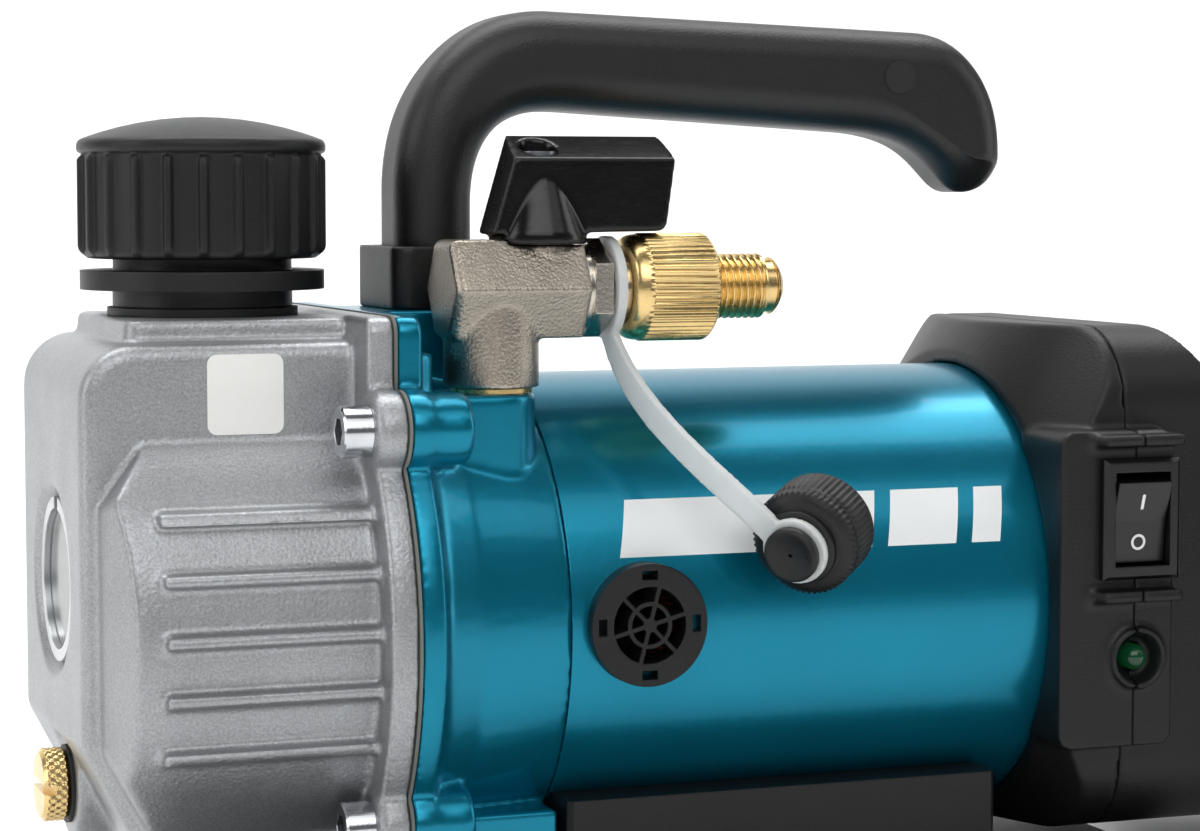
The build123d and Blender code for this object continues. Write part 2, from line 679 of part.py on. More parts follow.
def rear_housing_back():
    outside = rear_form() + switch_side(HOUSE_SEAM, 120)
    room = house_side(HOUSE_SEAM - 1, HOUSE_REAR - SHELL_T, SHELL_T)
    room = room & house_round(HOUSE_SEAM - 1, HOUSE_REAR - SHELL_T, SHELL_T)
    shell = outside - room
    for y, z in HOUSE_SCREWS:
        post = cyl_x(HOUSE_SEAM, 118, 4, y, z) - cyl_x(HOUSE_SEAM - 1, 119, 1.9, y, z)
        wall_z = HOUSE_TOP - 1 if z > 0 else HOUSE_BOTTOM + 1
        rib = block((HOUSE_SEAM, 118), (y - 1.5, y + 1.5), sorted((z, wall_z)))
        shell += (post + rib) & outside
        shell -= cyl_x(113, 140, 3.4, y, z)
        shell -= cyl_x(HOUSE_SEAM - 1, 119, 1.9, y, z)
    shell -= switch_opening()
    shell -= led_opening()
    shell += neck_rails()
    wall = (HOUSE_REAR - SHELL_T - 1, HOUSE_REAR + 1)
    return shell - block(wall, (-16, 16), (BATTERY_Z - 14, BATTERY_Z + 14))


def housing_screws():
    screws = []
    for y, z in HOUSE_SCREWS:
        screw = cyl_x(95, 113, 1.5, y, z) + cyl_x(113.02, 115.2, 3.0, y, z)
        screw += cyl_x(112.9, 113.1, 1.5, y, z)
        screws.append(screw - hex_x(114.2, 116, 2.6, y, z))
    return screws


def controller_board():
    board = block((96, 97.6), (-19, 30), (-26, 30))
    chips = block((97.6, 101), (-8, 8), (-12, 4)) + block((97.6, 106), (8, 20), (10, 22))
    return board + chips


def terminal_block():
    base = block((127.5, 130.3), (-15, 15), (BATTERY_Z - 13, BATTERY_Z + 13))
    boss = block((130.3, 133.0), (-14, 14), (BATTERY_Z - 12, BATTERY_Z + 12))
    heights = [BATTERY_Z - 9, BATTERY_Z + 9]
    blades = [block((133.0, 135.0), (-12, 6), (z - 0.5, z + 0.5)) for z in heights]
    return base + boss + blades


# --------------------------------------------------------------- switch

def switch_body():
    """Snap-in rocker switch: square-cornered bezel, body behind it, blade terminals."""
    tall = (SWITCH_Z - 10.5, SWITCH_Z + 10.5)
    bezel = block((SWITCH_X - 7.5, SWITCH_X + 7.5), (PANEL_Y - 2.0, PANEL_Y), tall)
    bezel = chamfer(bezel.faces().sort_by(Axis.Y)[0].edges(), 0.7)
    case = block((SWITCH_X - 6.2, SWITCH_X + 6.2), (PANEL_Y, -26), (SWITCH_Z - 9.2, SWITCH_Z + 9.2))
    window = block((SWITCH_X - 5.4, SWITCH_X + 5.4), (PANEL_Y - 4, -36), (SWITCH_Z - 8.2, SWITCH_Z + 8.2))
    heights = [SWITCH_Z - 5, SWITCH_Z + 5]
    blades = [block((SWITCH_X - 2, SWITCH_X + 2), (-26, -20), (z - 0.4, z + 0.4)) for z in heights]
    pivot = cyl_x(SWITCH_X - 5.8, SWITCH_X + 5.8, ROCKER_PIN_R + RUN, ROCKER_PIVOT_Y, SWITCH_Z)
    return bezel + case - window - pivot + blades


def switch_rocker():
    """The rocker on its pivot pins, in its off position: upper half out, lower half pressed in."""
    outline = Polyline((-6.9, -2.4), (-7.3, 3.0), (0, 2.2), (7.3, 3.0), (6.9, -2.4), (2.5, -3.6),
                       (-2.5, -3.6), close=True)
    face = make_face(outline)
    plane = Plane((SWITCH_X - 5.2, ROCKER_PIVOT_Y, SWITCH_Z), x_dir=(0, 0, 1), z_dir=(1, 0, 0))
    body = extrude(plane * face, 10.4)
    body += cyl_x(SWITCH_X - 5.75, SWITCH_X + 5.75, ROCKER_PIN_R, ROCKER_PIVOT_Y, SWITCH_Z)
    out = Pos(SWITCH_X, ROCKER_PIVOT_Y, SWITCH_Z) * Rot(ROCKER_TILT, 0, 0) * Pos(
        -SWITCH_X, -ROCKER_PIVOT_Y, -SWITCH_Z)
    return out * body


def led_lens():
    lens = cyl_y(PANEL_Y + 1.0, -34, 2.25, SWITCH_X, LED_Z)
    return lens + Pos(SWITCH_X, PANEL_Y + 1.0, LED_Z) * Sphere(2.25)


# --------------------------------------------------------------- handle

def handle():
    """A hook handle: a post, a wide bend, a level grip and a turned-down end."""
    left = POST_X - POST_HALF
    right = POST_X + POST_HALF
    foot = FLANGE_TOP + GAP
    top_way = (1, -0.035)
    under_way = (-1, 0.0585)
    up = (0, 1)
    down = (0, -1)
    outline = [
        Line((left, foot), (left, 72)),
        Spline((left, 72), (-11.2, 95.0), (9, HANDLE_TOP), tangents=(up, top_way)),
        Line((9, HANDLE_TOP), (79, 101.15)),
        Spline((79, 101.15), (90.2, 96.3), (96.4, 79), tangents=(top_way, down)),
        Spline((96.4, 79), (90, 72.2), (66, 83.1), tangents=(down, under_way)),
        Line((66, 83.1), (13, 86.2)),
        Spline((13, 86.2), (-1.0, 83.2), (right, 70), tangents=(under_way, down)),
        Line((right, 70), (right, foot)),
        Line((right, foot), (left, foot)),
    ]
    body = outline_xz(make_face(outline), -HANDLE_HALF_Y, HANDLE_HALF_Y)
    sides = body.edges().filter_by(lambda e: abs(abs(e.center().Y) - HANDLE_HALF_Y) < 0.01)
    rims = sides.filter_by(lambda e: e.center().Z > 53)
    body = fillet(rims, 6.5)
    return body - cyl_z(50, 75, 2.6, POST_X)


def handle_collar():
    outer = soft_box((POST_X - 9.2, POST_X + 9.2), (-12, 12), (FLANGE_TOP, COLLAR_TOP), 3, Axis.Z)
    inner = block((POST_X - 6.9, POST_X + 6.9), (-9.6, 9.6), (FLANGE_TOP - 1, COLLAR_TOP + 1))
    return outer - inner


def handle_stud():
    """A stud that ties the handle's post to the casting."""
    return cyl_z(45, 74, 2.5, POST_X)


# ---------------------------------------------------------------- valve

def valve_body():
    """Angled ball valve: hexagonal body, stem boss on top, threaded spigot below."""
    body = hex_x(-17.4, 6, VALVE_HEX, VALVE_Y, VALVE_Z)
    body = chamfer(body.faces().sort_by(Axis.X)[0].edges(), 1.0)
    body += cyl_z(VALVE_Z, 64, 6.2, VALVE_STEM_X, VALVE_Y)
    body += cyl_z(39.9, VALVE_Z, 8.0, SPIGOT_X, VALVE_Y)
    body += cyl_z(32, 39.9, 5.4, SPIGOT_X, VALVE_Y)
    body -= cyl_x(VALVE_STEM_X - 6.6, 7, BALL_R + 0.85, VALVE_Y, VALVE_Z)
    body -= cyl_z(HUB_BOTTOM - 0.1, 70, 8.4, VALVE_STEM_X, VALVE_Y)
    body -= cyl_x(SPIGOT_X, VALVE_STEM_X, 3.2, VALVE_Y, VALVE_Z)
    body -= cyl_z(30, VALVE_Z, 3.2, SPIGOT_X, VALVE_Y)
    return body - cyl_z(VALVE_Z, 70, 2.5 + RUN, VALVE_STEM_X, VALVE_Y)


def spigot_ring():
    return ring_z(INLET_TOP, 39.8, 6.9, 5.5, SPIGOT_X, VALVE_Y)


def valve_seat(reach):
    """A ring with a conical face on the ball; reach is from the ball's centre to the ring's far face."""
    outer = BALL_R + 0.8
    profile = Polyline((2.7, outer), (reach, outer), (reach, 3.2), (5.75, 3.2), (2.7, 6.25), close=True)
    return revolve(Plane.XZ * make_face(profile), Axis.X)


def valve_seats():
    """Two plastic rings that the ball turns against."""
    left = Pos(VALVE_STEM_X, VALVE_Y, VALVE_Z) * Rot(0, 0, 180) * valve_seat(6.6)
    right = Pos(VALVE_STEM_X, VALVE_Y, VALVE_Z) * valve_seat(6.9)
    return [left, right]


def valve_end_plug():
    """Hexagonal end plug that closes the body and carries the outlet thread."""
    plug = hex_x(7.3, 10.4, 14.4, VALVE_Y, VALVE_Z, 30)
    plug += cyl_x(6.4, 7.3, 7.0, VALVE_Y, VALVE_Z)
    plug += cyl_x(10.4, 23.0, 6.0, VALVE_Y, VALVE_Z)
    plug -= cyl_z(HUB_BOTTOM - 0.1, 70, 8.4, VALVE_STEM_X, VALVE_Y)
    return plug - cyl_x(5, 26, 3.2, VALVE_Y, VALVE_Z)


def valve_ball():
    ball = Pos(VALVE_STEM_X, VALVE_Y, VALVE_Z) * Sphere(BALL_R)
    ball -= cyl_x(-10, 10, 3.2, VALVE_Y, VALVE_Z)
    return ball - block((-10, 10), (VALVE_Y - 1, VALVE_Y + 1), (VALVE_Z + 5.1, VALVE_Z + 8))


def valve_stem():
    stem = cyl_z(VALVE_Z + BALL_R + 0.1, 78, 2.5, VALVE_STEM_X, VALVE_Y)
    tang = block((VALVE_STEM_X - 2.3, VALVE_STEM_X + 2.3), (VALVE_Y - 0.9, VALVE_Y + 0.9),
                 (VALVE_Z + 5.2, VALVE_Z + BALL_R + 0.1))
    return stem + tang


def valve_lever():
    """Wedge-topped lever with a conical hub around the stem."""
    side = Polyline((-9.6, 65.2), (-4.6, 82.2), (22.2, 82.2), (23, 80.8), (20.9, 65.7), (6, 65.5), close=True)
    arm = outline_xz(make_face(side), VALVE_Y - 4.6, VALVE_Y + 4.6)
    slope = Plane((0, VALVE_Y + 4.6, 81.8), x_dir=(1, 0, 0), z_dir=(0, -0.40, 0.92))
    arm = split(arm, bisect_by=slope, keep=Keep.BOTTOM)
    arm = fillet(arm.edges().filter_by(Axis.Y).sort_by(Axis.Z)[-2:], 1.8)
    low = (Align.CENTER, Align.CENTER, Align.MIN)
    hub = Pos(VALVE_STEM_X, VALVE_Y, 65.2) * Cone(8.2, 3.0, 13.5, align=low)
    hub += cyl_z(HUB_BOTTOM, 65.2, 8.2, VALVE_STEM_X, VALVE_Y)
    lever = arm + hub
    lever -= cyl_z(60, 100, 2.52, VALVE_STEM_X, VALVE_Y)
    return lever - cyl_z(76.8, 100, 3.2, VALVE_STEM_X, VALVE_Y)


def lever_screw():
    screw = cyl_z(78, 79, 3.1, VALVE_STEM_X, VALVE_Y)
    return screw - block((-10, 10), (VALVE_Y - 0.4, VALVE_Y + 0.4), (78.5, 80))


def adapter_seal():
    return ring_x(23.02, 23.6, 6.0, 3.2, VALVE_Y, VALVE_Z)


def adapter_nut():
    nut = cyl_x(NUT[0], NUT[1], NUT_R, VALVE_Y, VALVE_Z)
    nut = chamfer(nut.edges().filter_by(GeomType.CIRCLE), 0.9)
    nut -= cyl_x(NUT[0] - 1, 23.65, 6.0 + RUN, VALVE_Y, VALVE_Z)
    return nut - cyl_x(23, NUT[1] + 1, 4.6, VALVE_Y, VALVE_Z)


def flare_nipple():
    """Male flare end: threaded length, relief, 45 degree cone."""
    profile = Polyline((24.2, 2.4), (24.2, 4.6), (NUT[1], 4.6), (NUT[1], FLARE_R), (39.4, FLARE_R),
                       (39.4, 4.5), (41.6, 4.5), (NIPPLE_END, 3.1), (NIPPLE_END, 2.4), close=True)
    turned = revolve(Plane.XZ * make_face(profile), Axis.X)
    return Pos(0, VALVE_Y, VALVE_Z) * turned


# ------------------------------------------------------- strap and cap

def along_cap(distance):
    """A plane across the port cap's axis, this far in front of the cap's open end."""
    origin = PORT_CAP_BACK - CAP_AXIS * distance
    return Plane(origin, z_dir=CAP_AXIS * -1)


def cap_disc(near, far, radius):
    return extrude(along_cap(near) * Circle(radius), far - near)


def port_cap():
    cap = cap_disc(0, 10, 9.2)
    cap += cap_disc(10, 11.4, 6.4)
    cap += cap_disc(11.4, 13.2, 3.0)
    cap += cap_disc(13.2, 15.0, 4.7)
    return cap - cap_disc(-1, 8, 5.7)


def strap_section(point, tangent, normal, width, thick):
    x_dir = Vector(*normal).cross(Vector(*tangent))
    plane = Plane(Vector(*point), x_dir=x_dir, z_dir=Vector(*tangent))
    return plane * Rectangle(width, thick)


def cap_strap():
    """A nylon strap: an eye around the valve outlet, a twisting band, an eye around the cap's button."""
    top_eye = ring_x(10.9, 12.5, 8.7, 6.4, VALVE_Y, VALVE_Z)
    cap_eye = cap_disc(11.6, 13.0, 5.6) - cap_disc(11, 14, 3.2)
    stations = [
        ((11.7, -26.6, 48.6), (0, -0.30, -0.95), (1, 0.05, 0)),
        ((12.7, -31.2, 42.4), (0.15, -0.58, -0.80), (0.95, 0.2, 0)),
        ((16.8, -39.6, 33.2), (0.38, -0.62, -0.68), (0.85, 0.45, 0.1)),
        ((24.6, -47.4, 23.6), (0.55, -0.48, -0.68), (0.76, 0.6, 0.2)),
        ((31.4, -51.2, 16.4), (0.66, -0.30, -0.68), (0.71, 0.64, 0.28)),
    ]
    sections = [strap_section(p, t, n, 4.6, 1.4) for p, t, n in stations]
    band = loft(sections) - cap_disc(9.8, 11.5, 6.6) - cap_disc(11.3, 13.3, 3.15) - cap_disc(13.1, 16, 5.0)
    return top_eye + band + cap_eye


# ----------------------------------------------------------------- base

def base_pedestal():
    """A moulded cradle between the base plate and the motor can."""
    cradle = block((0.2, 79.6), (-38, 38), (PLATE_TOP, -28.5))
    cradle = chamfer(cradle.edges().filter_by(Axis.Z), 1.0)
    cradle -= cyl_x(-5, 100, CAN_R + 0.02)
    for x in (14, 40, 66):
        cradle -= block((x - 9, x + 9), (-30, 30), (PLATE_TOP - 1, PLATE_TOP + 3))
    for x, y in PEDESTAL_SCREWS:
        cradle -= cyl_z(PLATE_TOP - 1, -38, 2.1, x, y)
    return cradle


def base_plate():
    span = (PLATE_TOP - PLATE_T, PLATE_TOP)
    plate = soft_box((-66, 122), (-HALF_WIDTH, HALF_WIDTH), span, 12, Axis.Z)
    plate = chamfer(plate.faces().sort_by(Axis.Z)[-1].edges(), 0.8)
    for x, y in PEDESTAL_SCREWS + FOOT_SCREWS:
        plate -= cyl_z(span[0] - 1, span[1] + 1, 2.1, x, y)
    for x, y in FEET_AT:
        plate -= cyl_z(span[0] - 1, span[1] + 1, 3.1, x, y)
    return plate


def rubber_feet():
    feet = []
    for x, y in FEET_AT:
        pad = cyl_z(-AXIS_HEIGHT, PLATE_TOP - PLATE_T, FOOT_R, x, y)
        pad = fillet(pad.faces().sort_by(Axis.Z)[0].edges(), 1.5)
        button = cyl_z(PLATE_TOP - PLATE_T, PLATE_TOP + 0.1, 3.0, x, y)
        rivet = cyl_z(PLATE_TOP + 0.1, PLATE_TOP + 1.6, 4.6, x, y)
        feet.append(pad + button + rivet)
    return feet


def base_screws():
    screws = []
    for x, y in PEDESTAL_SCREWS + FOOT_SCREWS:
        top = -41
        bottom = PLATE_TOP - PLATE_T
        screw = cyl_z(bottom, top, 2.0, x, y) + cyl_z(bottom - 2, bottom, 3.6, x, y)
        screws.append(screw - cyl_z(bottom - 3, bottom - 1, 1.5, x, y))
    return screws


# -------------------------------------------------------------- battery

def battery_span():
    return (BATTERY_Z - BATTERY_HALF_Z, BATTERY_Z + BATTERY_HALF_Z)


def battery_cover():
    """Rail side of the battery: a T-shaped tongue between two channels."""
    slab = soft_box((139.4, 152), BATTERY_Y, battery_span(), 6, Axis.X)
    wide = block((133.4, 135.7), (BATTERY_Y[0] + 8, 50), (BATTERY_Z - 22.2, BATTERY_Z + 22.2))
    stalk = block((135.7, 139.4), (BATTERY_Y[0] + 8, 50), (BATTERY_Z - 19.2, BATTERY_Z + 19.2))
    cover = slab + wide + stalk
    for s in (-1, 1):
        z = BATTERY_Z + s * 9
        cover -= block((133, 136.5), (-60, 60), (z - 1.2, z + 1.2))
    cover -= block((148, 153), (BATTERY_Y[0] + 3, BATTERY_Y[1] - 3), (BATTERY_Z - 34, BATTERY_Z + 34))
    tall = (BATTERY_Z - 13.3, BATTERY_Z + 13.3)
    button = block((140.6, 149.4), (BATTERY_Y[0] - 1, BATTERY_Y[0] + 2.6), tall)
    return cover - button


def battery_case():
    body = soft_box((152.1, BATTERY_END), BATTERY_Y, battery_span(), 6, Axis.X)
    body = fillet(body.faces().sort_by(Axis.X)[-1].edges(), 3.5)
    wide = (BATTERY_Y[0] + 3, BATTERY_Y[1] - 3)
    room = block((151, BATTERY_END - 2.5), wide, (BATTERY_Z - 34.5, BATTERY_Z + 34.5))
    for i in range(3):
        z = BATTERY_Z - 16 + 16 * i
        body -= block((160, 184), (BATTERY_Y[0] - 1, BATTERY_Y[0] + 1.0), (z - 5, z + 5))
    return body - room


def battery_cells():
    """Ten cells in two layers of five."""
    cells = []
    for x in (160.5, 179.0):
        for i in range(5):
            y = 1.0 + 19.5 * (i - 2)
            cells.append(cyl_z(BATTERY_Z - 32.5, BATTERY_Z + 32.5, CELL_R, x, y))
    return cells


def battery_button():
    """Release button in the pack's end, pressed away from the rails."""
    face = (-HALF_WIDTH, BATTERY_Y[0] + 2.4)
    pad = soft_box((140.8, 146.6), face, (BATTERY_Z - 13, BATTERY_Z + 13), 1.5, Axis.Y)
    rib = block((142.0, 142.6), (-HALF_WIDTH, BATTERY_Y[0]), (BATTERY_Z - 9, BATTERY_Z + 9))
    ribs = [Pos(1.4 * i, 0, 0) * rib for i in range(3)]
    cut = pad - block((140, 150), (-HALF_WIDTH - 1, -HALF_WIDTH + 0.5), (BATTERY_Z - 14, BATTERY_Z + 14))
    return cut + ribs


def pump_plates():
    return [pump_front_plate(), stage_disc(MIDDLE_PLATE, SHAFT_R + RUN), stage_disc(END_PLATE, SHAFT_R + RUN)]


def stage_rings():
    return [stage_ring_1(), stage_ring_2()]


def coupling_hubs():
    pump_half = coupling_half(-18, -9, -9, -5.2, SHAFT_R + 0.01, 0)
    motor_half = coupling_half(-5, -0.5, -8.8, -5, 5.01, 60)
    return [pump_half, motor_half]


def vent_grilles():
    return [vent_grille(-1), vent_grille(1)]


def motor_plates():
    return [motor_plate(0.1, 6.2, 1.2, 6.3, 13.02, 8, True), motor_plate(77, 83, 76.9, 82, 13.02, 8)]


def motor_bearings():
    return ball_bearing(1.25, 6.2, 13.0, 5.0 + RUN) + ball_bearing(77, 81.95, 13.0, 5.0 + RUN)


def inner_screws():
    return pump_screws() + motor_screws() + [handle_stud()]


def case_screws():
    return housing_screws() + base_screws()


PIECES = [
    oil_tank, tank_gasket, tank_screws, sight_glass, sight_glass_ring, fill_neck, neck_seal, oil_cap,
    exhaust_filter, drain_plug, drain_seal, front_casting, pump_plates, stage_rings, discharge_valves,
    pump_rotor, vanes, shaft_seal, coupling_hubs, coupling_spider, motor_shaft, motor_can, vent_grilles,
    motor_plates, motor_bearings, stator_core, stator_windings, magnet_rotor, cooling_fan, inner_screws,
    rear_housing_front, rear_housing_back, case_screws, controller_board, terminal_block, switch_body,
    switch_rocker, led_lens, handle, handle_collar, valve_body, spigot_ring, valve_seats, valve_end_plug,
    valve_ball, valve_stem, valve_lever, lever_screw, adapter_seal, adapter_nut, flare_nipple, port_cap,
    cap_strap, base_pedestal, base_plate, rubber_feet, battery_cover, battery_case, battery_cells,
    battery_button,
]

for piece in PIECES:
    made = piece()
    save(piece.__name__, *(made if isinstance(made, list) else [made]))
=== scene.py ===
"""Looks of the battery vacuum pump: materials, soft-edged castings, turned fittings, studio and camera.

Shapes are given in pump coordinates, in millimetres: X along the shaft from the joint between casting and
motor can, Y across with the switch on the -Y side, Z up from the shaft. at() turns them into the shared
frame, in metres.
"""

import json
import math

import bmesh
import bpy
from mathutils import Matrix, Vector

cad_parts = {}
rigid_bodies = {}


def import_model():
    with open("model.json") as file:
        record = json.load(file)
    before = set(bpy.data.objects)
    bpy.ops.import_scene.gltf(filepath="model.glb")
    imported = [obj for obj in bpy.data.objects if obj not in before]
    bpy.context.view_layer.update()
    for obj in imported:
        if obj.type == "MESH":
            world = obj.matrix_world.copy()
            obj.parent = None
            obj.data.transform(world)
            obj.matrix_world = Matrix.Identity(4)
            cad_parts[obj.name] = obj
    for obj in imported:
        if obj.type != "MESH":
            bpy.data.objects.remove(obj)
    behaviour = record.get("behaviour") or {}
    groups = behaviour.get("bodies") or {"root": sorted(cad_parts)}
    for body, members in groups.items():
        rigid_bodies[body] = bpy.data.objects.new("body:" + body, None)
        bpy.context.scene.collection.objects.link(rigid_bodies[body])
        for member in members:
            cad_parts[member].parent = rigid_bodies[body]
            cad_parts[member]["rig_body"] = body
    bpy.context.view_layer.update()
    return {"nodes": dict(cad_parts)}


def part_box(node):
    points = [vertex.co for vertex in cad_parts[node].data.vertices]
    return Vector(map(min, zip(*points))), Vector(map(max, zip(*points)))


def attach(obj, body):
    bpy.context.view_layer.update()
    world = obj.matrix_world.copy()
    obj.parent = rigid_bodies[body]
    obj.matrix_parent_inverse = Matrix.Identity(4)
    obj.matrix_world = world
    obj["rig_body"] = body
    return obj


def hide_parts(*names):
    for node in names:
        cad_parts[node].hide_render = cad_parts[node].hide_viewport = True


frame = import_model()
NODES = frame["nodes"]

MM = 0.001
MID_X = -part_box("motor_can")[0].x / MM      # the can starts at x = 0
AXIS_HEIGHT = 58.0
VALVE_Y, VALVE_Z = -25.0, 56.2
CAP_X = -51.8
DRAIN_Z = -27.0
SWITCH_X = 103.0
NUT_START = 13.9
NIPPLE_START = 24.2
PLUG_END = -80.6
CAP_BOTTOM = 61.2
PORT_CAP_BACK = (42.8, -45.8, 17.2)         # middle of the port cap's open end
PAINT_METAL = 0.72
STRIPE_START = 10
STRIPE_Z = 16.5
STRIPE_HALF_HEIGHT = 4.6
STRIPE_BARS = ((0, 46.0), (49.0, 13.0), (65.0, 5.5))       # start and length of each bar


def at(x, y, z):
    return Vector(((x - MID_X) * MM, y * MM, (z + AXIS_HEIGHT) * MM))


def rgb(red, green, blue):
    """A linear colour from 8-bit sRGB values."""
    def linear(value):
        share = value / 255
        return share / 12.92 if share <= 0.04045 else ((share + 0.055) / 1.055) ** 2.4
    return (linear(red), linear(green), linear(blue), 1.0)


# ------------------------------------------------------------------ shader nodes

class Shader:
    """A material on one Principled node, with short calls for the nodes that drive it."""

    def __init__(self, name, **inputs):
        self.material = bpy.data.materials.new(name)
        self.material.use_nodes = True
        self.tree = self.material.node_tree
        self.bsdf = next(n for n in self.tree.nodes if n.type == "BSDF_PRINCIPLED")
        self.where = self.node("ShaderNodeTexCoord").outputs["Object"]
        self.set(**inputs)

    def feed(self, socket, value):
        if isinstance(value, bpy.types.NodeSocket):
            self.tree.links.new(value, socket)
        else:
            socket.default_value = value

    def node(self, kind, inputs=None, **settings):
        made = self.tree.nodes.new(kind)
        for key, value in settings.items():
            setattr(made, key, value)
        for key, value in (inputs or {}).items():
            self.feed(made.inputs[key], value)
        return made

    def set(self, **inputs):
        for key, value in inputs.items():
            self.feed(self.bsdf.inputs[key.replace("_", " ")], value)

    def place(self, stretch=(1, 1, 1), turn=(0, 0, 0)):
        return self.node("ShaderNodeMapping",
                         {"Vector": self.where, "Scale": stretch, "Rotation": turn}).outputs[0]

    def noise(self, scale, detail=3.0, rough=0.55, where=None):
        made = self.node("ShaderNodeTexNoise", {
            "Vector": where or self.where, "Scale": scale, "Detail": detail, "Roughness": rough})
        return made.outputs["Fac"]

    def cells(self, scale, feature="F1", where=None):
        made = self.node("ShaderNodeTexVoronoi", {"Vector": where or self.where, "Scale": scale},
                         feature=feature)
        return made.outputs["Distance"]

    def span(self, value, low, high, to_low=0.0, to_high=1.0):
        made = self.node("ShaderNodeMapRange", {
            0: value, 1: low, 2: high, 3: to_low, 4: to_high})
        return made.outputs[0]

    def math(self, operation, first, second=0.0):
        return self.node("ShaderNodeMath", {0: first, 1: second}, operation=operation).outputs[0]

    def mix(self, share, first, second):
        made = self.node("ShaderNodeMix", data_type="RGBA")
        self.feed(made.inputs[0], share)
        self.feed(made.inputs[6], first)
        self.feed(made.inputs[7], second)
        return made.outputs[2]

    def rounded(self, radius):
        """Normals that run smoothly over an edge, as on a softened corner."""
        return self.node("ShaderNodeBevel", {"Radius": radius * MM}, samples=6).outputs[0]

    def edges(self, radius):
        """1 on an edge, 0 away from it."""
        true = self.node("ShaderNodeNewGeometry").outputs["Normal"]
        dot = self.node("ShaderNodeVectorMath", {0: self.rounded(radius), 1: true}, operation="DOT_PRODUCT")
        return self.span(dot.outputs["Value"], 0.995, 0.86)

    def bump(self, height, depth, normal=None, strength=1.0):
        made = self.node("ShaderNodeBump", {"Strength": strength, "Distance": depth * MM, "Height": height})
        if normal is not None:
            self.feed(made.inputs["Normal"], normal)
        return made.outputs[0]


def surface(name, colour, rough, metal=0.0, mottle=0.12, mottle_scale=45, grain=None, bevel=0.3, wear=None,
            smudge=0.08, coat=0.0, scratch=0.0, speck=0.0):
    """A finish with cloudy colour, uneven sheen, surface grain, softened edges and wear along them.

    grain is (size, depth) in mm; wear is (colour, edge radius in mm, share of the edge that has worn).
    """
    s = Shader(name, Metallic=metal)
    cloud = s.noise(mottle_scale, 4)
    dark = tuple(c * (1 - mottle) for c in colour[:3]) + (1.0,)
    light = tuple(min(1.0, c * (1 + mottle)) for c in colour[:3]) + (1.0,)
    paint = s.mix(s.span(cloud, 0.35, 0.65), dark, light)
    if speck:
        dust = s.span(s.noise(2600, 2), 0.38, 0.66, 1 - speck, 1 + speck)
        paint = s.node("ShaderNodeVectorMath", {0: paint, 1: dust}, operation="MULTIPLY").outputs[0]
    sheen = s.math("ADD", rough - smudge / 2, s.math("MULTIPLY", s.noise(90, 5, 0.7), smudge))
    normal = s.rounded(bevel) if bevel else None
    if scratch:
        lines = s.span(s.noise(300, 2, where=s.place((1, 14, 14), (0.3, 0.5, 0.2))), 0.62, 0.7)
        sheen = s.math("ADD", sheen, s.math("MULTIPLY", lines, scratch))
    if wear:
        worn_colour, radius, share = wear
        chips = s.span(s.noise(420, 4, 0.7), 0.62 - share * 0.3, 0.70 - share * 0.3)
        mask = s.math("MULTIPLY", s.edges(radius), chips)
        paint = s.mix(mask, paint, worn_colour)
        sheen = s.math("ADD", sheen, s.math("MULTIPLY", mask, 0.08))
    if grain:
        size, depth = grain
        pits = s.math("ADD", s.noise(1 / (size * MM), 3, 0.6),
                      s.math("MULTIPLY", s.cells(0.8 / (size * MM)), 0.5))
        normal = s.bump(pits, depth, normal)
    s.set(Base_Color=paint, Roughness=sheen)
    if normal is not None:
        s.set(Normal=normal)
    if coat:
        s.set(Coat_Weight=coat, Coat_Roughness=0.04)
        if bevel:
            s.set(Coat_Normal=s.rounded(bevel))
    return s


ALU_BRIGHT = rgb(226, 228, 230)
TEAL = rgb(0, 124, 152)
BLACK_WORN = rgb(48, 48, 50)

FINISH = {}


def cast_aluminium():
    s = surface("cast_aluminium", rgb(162, 164, 166), 0.42, 0.8, mottle=0.05, mottle_scale=60,
                grain=(0.55, 0.07),
                bevel=0, smudge=0.16, speck=0.13, wear=(ALU_BRIGHT, 0.8, 0.7))
    return s


def teal_paint(name="teal_paint", bevel=0.6):
    return surface(name, TEAL, 0.26, PAINT_METAL, mottle=0.04, mottle_scale=30, grain=(1.6, 0.012),
                   bevel=bevel,
                   smudge=0.06, coat=0.12, wear=(rgb(46, 140, 165), 0.5, 0.1))


def can_paint():
    """Teal paint with a plain white stripe in three lengths on each side."""
    s = teal_paint("teal_paint_striped", 0.3)
    axes = s.node("ShaderNodeSeparateXYZ", {0: s.where})
    lean = s.math("ADD", axes.outputs["X"], s.math("MULTIPLY", axes.outputs["Z"], -0.25))
    origin = (STRIPE_START - MID_X) * MM - 0.25 * (AXIS_HEIGHT + 16) * MM
    level = s.math("COMPARE", axes.outputs["Z"], (AXIS_HEIGHT + STRIPE_Z) * MM)
    level.node.inputs[2].default_value = STRIPE_HALF_HEIGHT * MM
    bars = None
    for start, length in STRIPE_BARS:
        bar = s.math("COMPARE", lean, origin + (start + length / 2) * MM)
        bar.node.inputs[2].default_value = length / 2 * MM
        bars = bar if bars is None else s.math("ADD", bars, bar)
    mask = s.math("MULTIPLY", bars, level)
    base = s.bsdf.inputs["Base Color"].links[0].from_socket
    white = s.mix(s.noise(60), rgb(226, 230, 231), rgb(238, 240, 240))
    s.set(Base_Color=s.mix(mask, base, white),
          Metallic=s.math("MULTIPLY", s.math("SUBTRACT", 1.0, mask), PAINT_METAL))
    return s


def nickel_cast():
    return surface("nickel_cast", rgb(162, 154, 142), 0.30, 1.0, mottle=0.10, mottle_scale=120,
                   grain=(0.45, 0.10),
                   bevel=0, smudge=0.18, speck=0.08, wear=(rgb(226, 220, 208), 0.6, 0.8))


